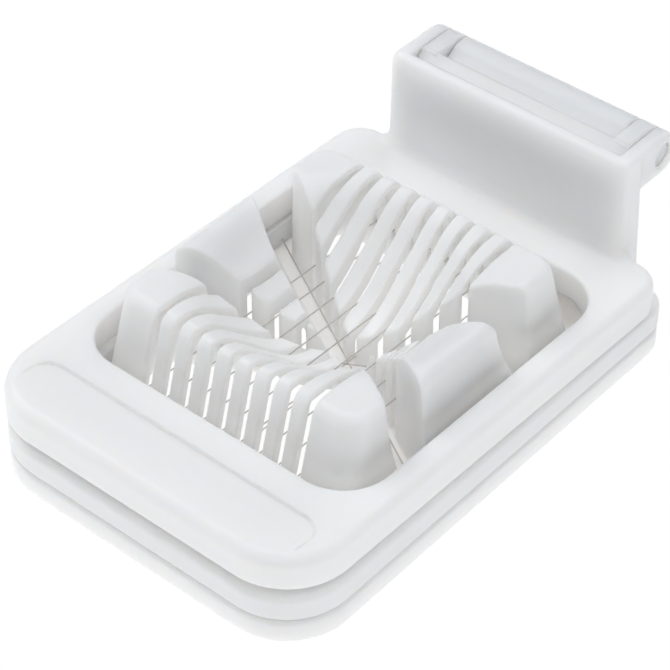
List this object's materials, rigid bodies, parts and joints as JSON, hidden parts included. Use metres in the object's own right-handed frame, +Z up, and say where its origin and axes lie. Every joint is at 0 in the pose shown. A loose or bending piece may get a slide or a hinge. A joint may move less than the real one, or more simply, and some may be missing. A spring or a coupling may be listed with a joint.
{
  "type": "egg slicer and wedger",
  "caption": "Hand egg slicer: base tray with a slotted egg cradle, a slicing-wire frame and a wedge-wire frame stacked on it, both swinging up about a rear hinge pin.",
  "frame": {"origin": "on the ground under the middle of the overall width and depth", "axes": "+X to the right seen from the front, along the hinge pin; +Y from the front edge to the hinge; +Z up"},
  "size_m": [0.0882, 0.1404, 0.0462],
  "materials": {
    "white_plastic": "satin moulded",
    "frame_plastic": "satin moulded",
    "pin_plastic": "satin moulded",
    "steel_wire": "drawn stainless wire"
  },
  "bodies": {
    "tray": {"base_tray": "white_plastic", "hinge_pin": "pin_plastic"},
    "wedger": {"wedge_frame": "frame_plastic", "wedge_wire_mid": "steel_wire", "wedge_wire_left": "steel_wire", "wedge_wire_right": "steel_wire"},
    "slicer": {"slicing_frame": "frame_plastic", "slicing_wire_1": "steel_wire", "slicing_wire_2": "steel_wire", "slicing_wire_3": "steel_wire", "slicing_wire_4": "steel_wire", "slicing_wire_5": "steel_wire", "slicing_wire_6": "steel_wire", "slicing_wire_7": "steel_wire", "slicing_wire_8": "steel_wire", "slicing_wire_9": "steel_wire"}
  },
  "joints": [
    {"name": "wedger_hinge", "type": "hinge", "parent": "tray", "child": "wedger", "pos_m": [0, 0.06515, 0.041], "axis": [-1, 0, 0], "range_deg": [0, 90]},
    {"name": "slicer_hinge", "type": "hinge", "parent": "wedger", "child": "slicer", "pos_m": [0, 0.06515, 0.041], "axis": [-1, 0, 0], "range_deg": [0, 90]}
  ]
}
